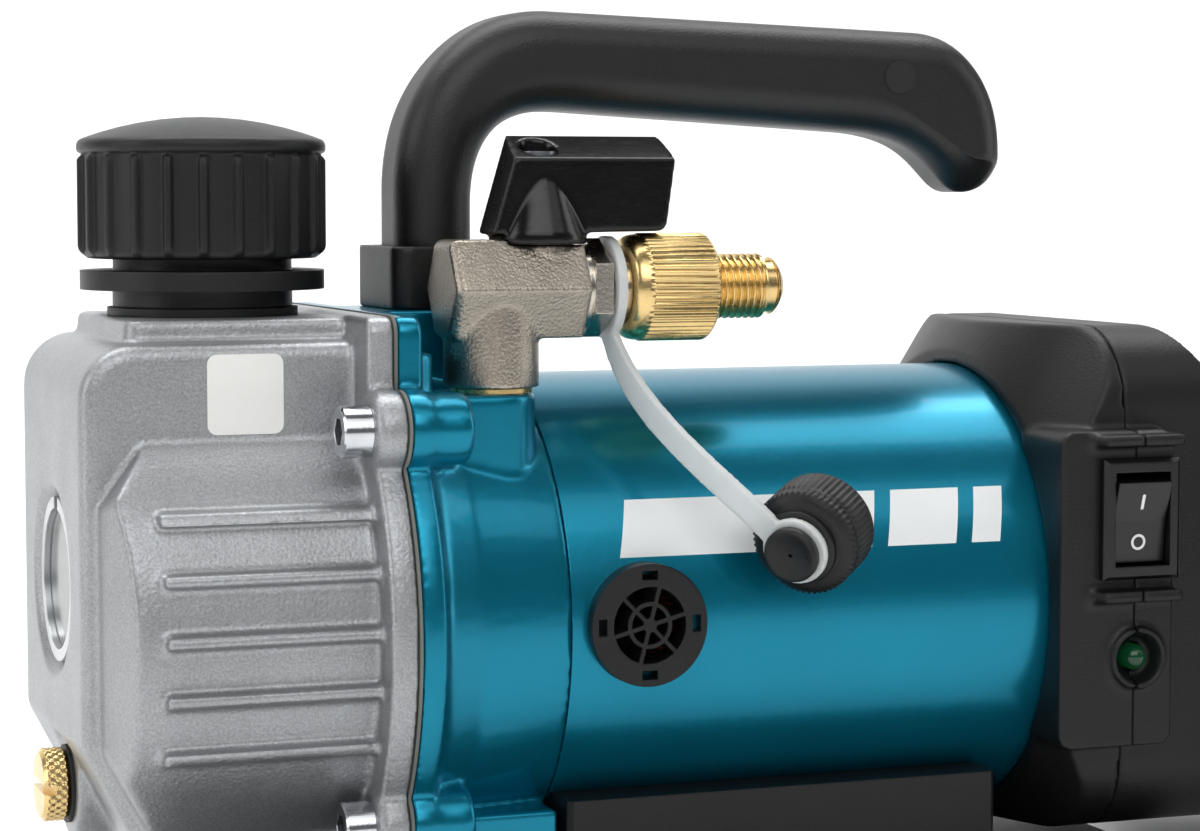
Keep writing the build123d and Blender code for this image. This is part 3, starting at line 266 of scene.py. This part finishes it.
def brass(name="brass", rough=0.24):
    return surface(name, rgb(226, 196, 136), rough, 1.0, mottle=0.08, mottle_scale=140, grain=(0.5, 0.008),
                   bevel=0.12, smudge=0.14, scratch=0.12, wear=(rgb(240, 208, 140), 0.25, 0.6))


def clear_nylon():
    s = surface("clear_nylon", rgb(226, 230, 230), 0.36, mottle=0.04, mottle_scale=150, grain=(0.7, 0.02),
                bevel=0,
                smudge=0.1)
    s.set(Subsurface_Weight=0.75, Subsurface_Radius=(0.004, 0.004, 0.0045), Subsurface_Scale=0.6,
          Transmission_Weight=0.3, IOR=1.5)
    return s


def sight_lens():
    s = surface("sight_lens", rgb(150, 154, 152), 0.12, mottle=0.05, grain=(3.0, 0.02), bevel=0, smudge=0.08)
    s.set(Transmission_Weight=0.55, IOR=1.46)
    return s


def led_green():
    s = surface("led_green", rgb(14, 66, 40), 0.12, mottle=0.25, mottle_scale=500, grain=(0.4, 0.01),
                bevel=0.1)
    s.set(Transmission_Weight=0.4, Emission_Color=rgb(40, 170, 90), Emission_Strength=0.03)
    return s


def filter_felt():
    s = Shader("filter_felt", Roughness=0.95)
    threads = s.noise(1500, 5, 0.8, s.place((1, 1, 0.25)))
    s.set(Base_Color=s.mix(threads, rgb(188, 182, 166), rgb(222, 217, 202)), Normal=s.bump(threads, 0.25),
          Sheen_Weight=0.4)
    return s


def copper_winding():
    s = Shader("copper_winding", Metallic=0.9, Roughness=0.32)
    rows = s.node("ShaderNodeTexWave", {"Vector": s.where, "Scale": 320.0, "Distortion": 1.2, "Detail": 1.0},
                  bands_direction="Z").outputs["Fac"]
    s.set(Base_Color=s.mix(rows, rgb(112, 52, 24), rgb(198, 110, 58)), Normal=s.bump(rows, 0.25))
    return s


def circuit_board():
    s = Shader("circuit_board", Roughness=0.4)
    tracks = s.node("ShaderNodeTexBrick", {"Vector": s.place((1, 1, 1), (0, math.pi / 2, 0)), "Scale": 260.0,
                                           "Color1": rgb(20, 88, 48), "Color2": rgb(24, 104, 58),
                                           "Mortar": rgb(64, 140, 92), "Mortar Size": 0.012})
    s.set(Base_Color=tracks.outputs["Color"], Normal=s.bump(tracks.outputs["Fac"], 0.05))
    return s


def laminated_steel():
    s = Shader("laminated_steel", Metallic=1.0, Roughness=0.38)
    sheets = s.node("ShaderNodeTexWave", {"Vector": s.where, "Scale": 300.0},
                    bands_direction="X").outputs["Fac"]
    s.set(Base_Color=s.mix(sheets, rgb(96, 98, 102), rgb(156, 158, 162)),
          Normal=s.bump(sheets, 0.08, s.rounded(0.2)))
    return s


PLASTIC = dict(mottle=0.10, mottle_scale=70, smudge=0.10)
FINISH.update(
    cast_aluminium=cast_aluminium(),
    machined_aluminium=surface("machined_aluminium", rgb(200, 202, 204), 0.3, 1.0, grain=(0.3, 0.01),
                               scratch=0.15),
    teal_paint=teal_paint(),
    can_paint=can_paint(),
    chrome_screw=surface("chrome_screw", rgb(206, 208, 212), 0.14, 1.0, mottle=0.05, mottle_scale=300,
                         grain=(0.4, 0.006), bevel=0.25, scratch=0.12, wear=(rgb(240, 240, 242), 0.3, 0.5)),
    steel=surface("steel", rgb(168, 170, 174), 0.28, 1.0, grain=(0.4, 0.01), bevel=0.2, scratch=0.15),
    spring_steel=surface("spring_steel", rgb(120, 122, 128), 0.34, 1.0, grain=(0.4, 0.01), bevel=0.2,
                         scratch=0.15),
    laminated_steel=laminated_steel(),
    magnet=surface("magnet", rgb(84, 84, 88), 0.4, 0.9, grain=(0.3, 0.03)),
    copper_winding=copper_winding(),
    nickel_cast=nickel_cast(),
    nickel_turned=surface("nickel_turned", rgb(206, 198, 186), 0.2, 1.0, grain=(0.5, 0.012), bevel=0.25,
                          scratch=0.12, wear=(rgb(234, 230, 222), 0.3, 0.5)),
    brass=brass(),
    black_moulding=surface("black_moulding", rgb(15, 15, 16), 0.44, grain=(0.45, 0.045), bevel=0.5,
                           wear=(BLACK_WORN, 0.45, 0.15), **PLASTIC),
    black_glove_grip=surface("black_glove_grip", rgb(14, 14, 15), 0.42, grain=(0.4, 0.05), bevel=0.4,
                             wear=(BLACK_WORN, 0.4, 0.1), **PLASTIC),
    black_gloss=surface("black_gloss", rgb(10, 10, 11), 0.2, grain=(1.4, 0.02), bevel=0.35,
                        wear=(rgb(60, 60, 62), 0.3, 0.25), mottle=0.1, smudge=0.12, scratch=0.1),
    rocker_black=surface("rocker_black", rgb(12, 12, 13), 0.3, grain=(0.4, 0.015), bevel=0.4, **PLASTIC),
    seal_rubber=surface("seal_rubber", rgb(18, 18, 18), 0.55, grain=(0.3, 0.02), bevel=0.2, **PLASTIC),
    foot_rubber=surface("foot_rubber", rgb(30, 30, 30), 0.7, grain=(0.5, 0.06), bevel=0.5, **PLASTIC),
    clear_nylon=clear_nylon(),
    sight_lens=sight_lens(),
    led_green=led_green(),
    filter_felt=filter_felt(),
    white_plastic=surface("white_plastic", rgb(228, 228, 222), 0.4, grain=(0.4, 0.02), bevel=0.1,
                          mottle=0.04),
    vane_graphite=surface("vane_graphite", rgb(58, 58, 60), 0.45, 0.3, grain=(0.3, 0.04)),
    gasket_paper=surface("gasket_paper", rgb(112, 114, 108), 0.9, grain=(0.3, 0.06), bevel=0),
    circuit_board=circuit_board(),
    spider_elastomer=surface("spider_elastomer", rgb(168, 44, 34), 0.5, grain=(0.5, 0.03)),
    cell_wrap=surface("cell_wrap", rgb(52, 110, 168), 0.35, grain=(0.8, 0.02), mottle=0.05),
    label=surface("label", rgb(238, 238, 234), 0.34, mottle=0.02, mottle_scale=90, grain=(1.2, 0.02),
                  bevel=0.1,
                  smudge=0.12),
    print_white=surface("print_white", rgb(232, 232, 230), 0.5, mottle=0.05, mottle_scale=600,
                        grain=(0.25, 0.02),
                        bevel=0),
)


FINISH["black_gloss"].set(Specular_IOR_Level=0.36)
FINISH["black_moulding"].set(Specular_IOR_Level=0.38)


# ----------------------------------------------------------------------- pieces

def add(name, mesh, body, slot, finish=None, replaced=()):
    """Puts a mesh in the scene on a body, with its finish, and hides the CAD nodes it stands for."""
    obj = bpy.data.objects.new(name, mesh)
    bpy.context.scene.collection.objects.link(obj)
    obj.data.materials.clear()
    obj.data.materials.append(FINISH[finish or slot].material)
    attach(obj, body)
    if replaced:
        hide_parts(*replaced)
    return obj


def slot_of(node):
    return NODES[node].data.materials[0].name.split(".")[0]


def soften(name, node, voxel, passes=6, finish=None):
    """A copy of a CAD node, remeshed finely and smoothed, with edges as round as on a casting or moulding."""
    slot = slot_of(node)
    work = bpy.data.objects.new(name + "_work", NODES[node].data.copy())
    bpy.context.scene.collection.objects.link(work)
    shape = bmesh.new()
    shape.from_mesh(work.data)
    bmesh.ops.remove_doubles(shape, verts=shape.verts, dist=2e-6)
    shape.to_mesh(work.data)
    shape.free()
    remesh = work.modifiers.new("remesh", "REMESH")
    remesh.mode = "VOXEL"
    remesh.voxel_size = voxel * MM
    smooth = work.modifiers.new("smooth", "SMOOTH")
    smooth.factor = 0.5
    smooth.iterations = passes
    graph = bpy.context.evaluated_depsgraph_get()
    mesh = bpy.data.meshes.new_from_object(work.evaluated_get(graph), depsgraph=graph)
    bpy.data.objects.remove(work)
    mesh.name = name
    mesh.polygons.foreach_set("use_smooth", [True] * len(mesh.polygons))
    return add(name, mesh, NODES[node]["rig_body"], slot, finish, [node])


def turned(name, loop, start, axis, body, slot, replaced=(), segments=96, wave=None, finish=None):
    """A closed ring of revolution: loop lists (distance along the axis, radius) in mm around the section;
    wave(angle, distance, radius) gives the radius there, for knurls and threads."""
    axis = Vector(axis).normalized()
    side = axis.orthogonal().normalized()
    up = axis.cross(side)
    origin = at(*start)
    shape = bmesh.new()
    rings = []
    for i in range(segments):
        angle = 2 * math.pi * i / segments
        out = side * math.cos(angle) + up * math.sin(angle)
        ring = []
        for distance, radius in loop:
            r = wave(angle, distance, radius) if wave else radius
            ring.append(shape.verts.new(origin + axis * (distance * MM) + out * (r * MM)))
        rings.append(ring)
    count = len(loop)
    for i in range(segments):
        here, there = rings[i], rings[(i + 1) % segments]
        for j in range(count):
            k = (j + 1) % count
            shape.faces.new((here[j], here[k], there[k], there[j]))
    bmesh.ops.recalc_face_normals(shape, faces=shape.faces)
    mesh = bpy.data.meshes.new(name)
    shape.to_mesh(mesh)
    shape.free()
    mesh.polygons.foreach_set("use_smooth", [True] * len(mesh.polygons))
    mesh.set_sharp_from_angle(angle=math.radians(38))
    return add(name, mesh, body, slot, finish, replaced)


def steps(low, high, count):
    return [low + (high - low) * i / (count - 1) for i in range(count)]


def ridge(angle, count, sharp=1.0):
    """0 in the grooves and 1 on the ridges of a straight knurl."""
    return (0.5 + 0.5 * math.cos(angle * count)) ** sharp


def adapter_nut():
    def wave(angle, distance, radius):
        if radius < 9.0:
            return radius
        return radius - 0.42 * (1 - ridge(angle, 52))
    loop = [(0.1, 7.3), (0.4, 7.9), (0.9, 8.4), (1.6, 8.75), (2.4, 8.9), (3.2, 8.92), (3.5, 9.15),
            (14.8, 9.15)]
    loop += [(15.1, 8.8), (15.7, 8.1), (15.7, 4.62), (9.75, 4.62), (9.75, 6.05), (0.0, 6.05), (0.0, 7.1)]
    turned("adapter_nut_knurled", loop, (NUT_START, VALVE_Y, VALVE_Z), (1, 0, 0), "adapter", "brass",
           ["adapter_nut"],
           segments=416, wave=wave)


def flare_nipple():
    pitch, low, high = 1.27, 5.6, 15.1

    def wave(angle, distance, radius):
        if radius < 5.5 or not low - 0.01 <= distance <= high + 0.01:
            return radius
        turn = (distance / pitch - angle / (2 * math.pi)) % 1.0
        depth = 0.72 * min(1.0, (distance - low) / pitch + 0.15, (high - distance) / pitch + 0.15)
        return radius - depth * (1 - min(1.0, 2.35 * min(turn, 1 - turn)))
    loop = [(0.1, 2.45), (0.1, 4.58), (5.4, 4.58), (5.41, 5.3)]
    loop += [(d, 5.5562) for d in steps(low, high, 110)]
    loop += [(15.3, 4.5), (17.1, 4.5), (17.25, 4.9), (17.7, 4.6), (18.7, 3.25), (18.7, 2.9), (18.1, 2.45)]
    turned("flare_nipple_threaded", loop, (NIPPLE_START, VALVE_Y, VALVE_Z), (1, 0, 0), "adapter", "brass",
           ["flare_nipple"],
           segments=96, wave=wave)


def drain_plug():
    def wave(angle, distance, radius):
        if radius < 6.0 or not 0.7 < distance < 3.7:
            return radius
        left = math.cos(26 * angle + 3.4 * distance)
        right = math.cos(26 * angle - 3.4 * distance)
        return radius - 0.16 * (2 - left - right) / 2
    loop = [(0.0, 0.35), (0.0, 5.4), (0.6, 6.05)]
    loop += [(d, 6.2) for d in steps(0.75, 3.65, 22)]
    loop += [(3.8, 6.0), (4.3, 5.5), (4.3, 4.7), (15.9, 4.7), (15.9, 0.35)]
    plug = turned("drain_plug_knurled", loop, (PLUG_END, 0, DRAIN_Z), (1, 0, 0), "drain_plug", "brass",
                  ["drain_plug"],
                  segments=312, wave=wave)
    cut_slot(plug, at(PLUG_END, 0, DRAIN_Z), (3.6, 20.0, 1.6))


def cut_slot(obj, middle, size):
    """Cuts a box-shaped slot, size in mm, into a piece's own mesh."""
    shape = bmesh.new()
    bmesh.ops.create_cube(shape, size=1.0)
    bmesh.ops.scale(shape, vec=[side * MM for side in size], verts=shape.verts)
    bmesh.ops.translate(shape, vec=middle, verts=shape.verts)
    mesh = bpy.data.meshes.new("slot_cutter")
    shape.to_mesh(mesh)
    shape.free()
    cutter = bpy.data.objects.new("slot_cutter", mesh)
    bpy.context.scene.collection.objects.link(cutter)
    cut = obj.modifiers.new("slot", "BOOLEAN")
    cut.operation, cut.solver, cut.object = "DIFFERENCE", "EXACT", cutter
    graph = bpy.context.evaluated_depsgraph_get()
    result = bpy.data.meshes.new_from_object(obj.evaluated_get(graph), depsgraph=graph)
    obj.modifiers.clear()
    obj.data = result
    bpy.data.objects.remove(cutter)


def port_cap():
    axis = Vector((0.71, 0.64, 0.28)).normalized()

    def wave(angle, distance, radius):
        if radius < 9.1:
            return radius
        return radius - 0.34 * (1 - ridge(angle, 56))
    loop = [(0.05, 5.72), (0.05, 8.5), (0.35, 9.0), (0.9, 9.15), (5.8, 9.15), (6.2, 8.75), (6.5, 8.7),
            (6.8, 8.75)]
    loop += [(7.2, 9.15), (8.9, 9.15), (9.2, 8.7), (9.6, 8.2), (10.0, 7.4), (10.05, 6.4), (11.2, 6.3),
             (11.38, 6.0)]
    loop += [(11.4, 3.0), (13.2, 2.98), (13.2, 4.4), (13.5, 4.68), (14.5, 4.68), (14.95, 4.3), (15.0, 3.9)]
    loop += [(14.7, 3.3), (14.65, 0.3), (8.0, 0.3), (8.0, 5.72)]
    turned("port_cap_knurled", loop, PORT_CAP_BACK, -axis, "port_cap", "black_moulding", ["port_cap"],
           segments=448, wave=wave)


def oil_cap():
    def wave(angle, distance, radius):
        if radius < 19.6 or not 0.4 < distance < 17.4:
            return radius
        near = abs((angle * 22 / (2 * math.pi) + 0.5) % 1.0 - 0.5) * 2 * math.pi * 20.2 / 22
        fade = min(1.0, (distance - 0.4) / 1.2, (17.4 - distance) / 0.8)
        rise = max(0.0, 1.0 - max(0.0, near - 0.35) / 0.75)
        return radius + 0.95 * fade * rise * rise * (3 - 2 * rise)
    loop = [(-17.2, 10.62), (-17.2, 12.2), (-16.9, 12.48), (14.2, 12.48), (15.4, 13.2), (15.5, 18.0),
            (0.2, 18.0)]
    loop += [(0.0, 18.4), (0.0, 19.1), (0.35, 19.6)]
    loop += [(d, 19.95) for d in (0.9, 1.4, 2.0, 4.0, 8.0, 12.0, 15.0, 16.4, 16.9, 17.2)]
    loop += [(17.5, 20.2), (17.7, 20.6), (18.1, 20.85), (19.0, 20.85), (19.6, 20.6), (19.95, 20.1)]
    edge_r, top, edge = 20.1, 23.65, 19.95
    dome = (edge_r ** 2 + (top - edge) ** 2) / (2 * (top - edge))
    loop += [(top - dome + math.sqrt(dome ** 2 - r ** 2), r) for r in (19.0, 17.0, 14.0, 10.5, 7.0, 3.5, 0.6)]
    loop += [(16.9, 0.6), (16.9, 10.62)]
    turned("oil_cap_ribbed", loop, (CAP_X, 0, CAP_BOTTOM), (0, 0, 1), "oil_cap", "black_moulding",
           ["oil_cap"],
           segments=528, wave=wave, finish="black_moulding")


def plate(name, outline, depth, place, body, slot, finish=None):
    """A thin flat piece: a closed outline in mm, given thickness and put in place by a matrix."""
    shape = bmesh.new()
    back = [shape.verts.new(place @ Vector((x * MM, y * MM, 0))) for x, y in outline]
    front = [shape.verts.new(place @ Vector((x * MM, y * MM, depth * MM))) for x, y in outline]
    shape.faces.new(front)
    shape.faces.new(back[::-1])
    for i in range(len(outline)):
        j = (i + 1) % len(outline)
        shape.faces.new((back[i], back[j], front[j], front[i]))
    bmesh.ops.recalc_face_normals(shape, faces=shape.faces)
    mesh = bpy.data.meshes.new(name)
    shape.to_mesh(mesh)
    shape.free()
    return add(name, mesh, body, slot, finish)


def rounded_rectangle(width, height, radius, steps_=6):
    points = []
    for cx, cy, first in ((1, 1, 0), (-1, 1, 90), (-1, -1, 180), (1, -1, 270)):
        for i in range(steps_ + 1):
            angle = math.radians(first + 90 * i / steps_)
            points.append((cx * (width / 2 - radius) + radius * math.cos(angle),
                           cy * (height / 2 - radius) + radius * math.sin(angle)))
    return points


def facing(x_dir, y_dir, origin):
    """A matrix that puts a flat piece's X and Y along these directions, and its thickness across them."""
    x_dir, y_dir = Vector(x_dir).normalized(), Vector(y_dir).normalized()
    z_dir = x_dir.cross(y_dir)
    turn = Matrix((x_dir, y_dir, z_dir)).transposed().to_4x4()
    return Matrix.Translation(at(*origin)) @ turn


def grip_button():
    """A small round inset in the side of the grip."""
    outline = [(3 * math.cos(math.radians(10 * i)), 3 * math.sin(math.radians(10 * i))) for i in range(36)]
    plate("grip_button", outline, 0.15, facing((1, 0, 0), (0, 0, 1), (74.0, -9.5, 92.8)),
          NODES["handle"]["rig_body"],
          slot_of("handle"), "seal_rubber")


def rocker_marks():
    """A stroke on the rocker's upper half and a ring on its lower half."""
    plate("rocker_stroke", rounded_rectangle(0.55, 2.8, 0.2), 0.08,
          facing((1, 0, 0), (0, -0.313, 0.95), (SWITCH_X, -46.80,
                                                18.63)), "rocker", "white_plastic", "print_white")
    turned("rocker_ring", [(0, 0.95), (0.08, 0.95), (0.08, 1.4), (0, 1.4)], (SWITCH_X, -45.28, 11.49),
           (0, -0.995, -0.1), "rocker", "white_plastic", segments=48, finish="print_white")


def dress_cad_nodes():
    for name, obj in NODES.items():
        slot = slot_of(name)
        finish = FINISH["can_paint"] if name == "motor_can" else FINISH[slot]
        for i in range(len(obj.material_slots)):
            obj.material_slots[i].material = finish.material


def castings():
    fine = 0.6
    soften("oil_tank_cast", "oil_tank", fine, 8)
    soften("front_casting_cast", "front_casting", fine, 6)
    soften("valve_body_forged", "valve_body", 0.35, 8)
    soften("rear_housing_front_moulded", "rear_housing_front", fine, 4)
    soften("rear_housing_back_moulded", "rear_housing_back", fine * 0.75, 3)
    soften("handle_collar_moulded", "handle_collar", 0.5, 4)
    soften("valve_lever_moulded", "valve_lever", 0.35, 5)
    soften("strap_moulded", "cap_strap", 0.25, 6)


def studio():
    floor = bpy.data.meshes.new("floor")
    shape = bmesh.new()
    rows = []
    profile = [(-3.0, 0.0), (0.7, 0.0)]
    for i in range(1, 13):
        angle = math.pi / 2 * i / 12
        profile.append((0.7 + 0.8 * math.sin(angle), 0.8 - 0.8 * math.cos(angle)))
    profile += [(1.5, 3.0)]
    for x in (-4.0, 4.0):
        rows.append([shape.verts.new((x, y, z)) for y, z in profile])
    for i in range(len(profile) - 1):
        shape.faces.new((rows[0][i], rows[0][i + 1], rows[1][i + 1], rows[1][i]))
    bmesh.ops.recalc_face_normals(shape, faces=shape.faces)
    shape.to_mesh(floor)
    shape.free()
    floor.polygons.foreach_set("use_smooth", [True] * len(floor.polygons))
    sweep = bpy.data.objects.new("studio_sweep", floor)
    bpy.context.scene.collection.objects.link(sweep)
    s = Shader("studio_paper", Roughness=0.9)
    s.set(Base_Color=s.mix(s.noise(3.0), rgb(243, 243, 243), rgb(250, 250, 250)),
          Normal=s.bump(s.noise(300), 0.05))
    sweep.data.materials.append(s.material)

    world = bpy.data.worlds.new("studio")
    bpy.context.scene.world = world
    world.use_nodes = True
    tree = world.node_tree
    tree.nodes.clear()
    out = tree.nodes.new("ShaderNodeOutputWorld")
    light = tree.nodes.new("ShaderNodeBackground")
    seen = tree.nodes.new("ShaderNodeBackground")
    mixer = tree.nodes.new("ShaderNodeMixShader")
    ray = tree.nodes.new("ShaderNodeLightPath")
    light.inputs[0].default_value = (0.95, 0.97, 1.0, 1)
    light.inputs[1].default_value = 0.14
    seen.inputs[0].default_value = (1, 1, 1, 1)
    seen.inputs[1].default_value = 1.0
    tree.links.new(ray.outputs["Is Camera Ray"], mixer.inputs[0])
    tree.links.new(light.outputs[0], mixer.inputs[1])
    tree.links.new(seen.outputs[0], mixer.inputs[2])
    tree.links.new(mixer.outputs[0], out.inputs[0])


def softbox(name, place, target, size, power, colour=(1, 1, 1)):
    lamp = bpy.data.lights.new(name, "AREA")
    lamp.shape = "RECTANGLE"
    lamp.size, lamp.size_y = size
    lamp.energy = power
    lamp.color = colour
    obj = bpy.data.objects.new(name, lamp)
    obj.location = place
    obj.rotation_euler = (Vector(target) - Vector(place)).to_track_quat("-Z", "Y").to_euler()
    bpy.context.scene.collection.objects.link(obj)


def lights():
    middle = (0, 0, 0.07)
    softbox("key", (-0.35, -1.3, 0.95), middle, (1.7, 0.75), 8.5)
    softbox("top", (0.0, 0.2, 1.2), middle, (1.6, 0.7), 10)
    softbox("floor_front", (0.1, -0.75, 0.9), (0.1, -0.7, 0.0), (1.6, 0.5), 3)
    softbox("left", (-1.2, -0.1, 0.5), middle, (0.5, 0.8), 3.5)
    softbox("right", (1.3, -0.3, 0.5), middle, (0.4, 1.0), 3)
    softbox("backdrop", (0.0, 0.6, 1.6), (0, 1.5, 0.4), (3.0, 0.6), 24)


def camera():
    data = bpy.data.cameras.new("camera")
    data.lens = 91.8
    data.sensor_width = 36.0
    obj = bpy.data.objects.new("camera", data)
    obj.location = at(-170.1, -508.5, 72.5)
    obj.rotation_euler = Vector((0.3518, 0.9413, -0.0739)).to_track_quat("-Z", "Y").to_euler()
    bpy.context.scene.collection.objects.link(obj)
    bpy.context.scene.camera = obj


dress_cad_nodes()
castings()
adapter_nut()
flare_nipple()
port_cap()
oil_cap()
drain_plug()
plate("side_label", rounded_rectangle(12.6, 13.0, 1.6), 0.12,
      facing((1, 0, 0), (0, 0, 1), (-51.2, -27.0, 39.7)),
      "pump_frame", "white_plastic", "label")
grip_button()
rocker_marks()
studio()
lights()
camera()
bpy.context.scene.view_settings.view_transform = "Standard"
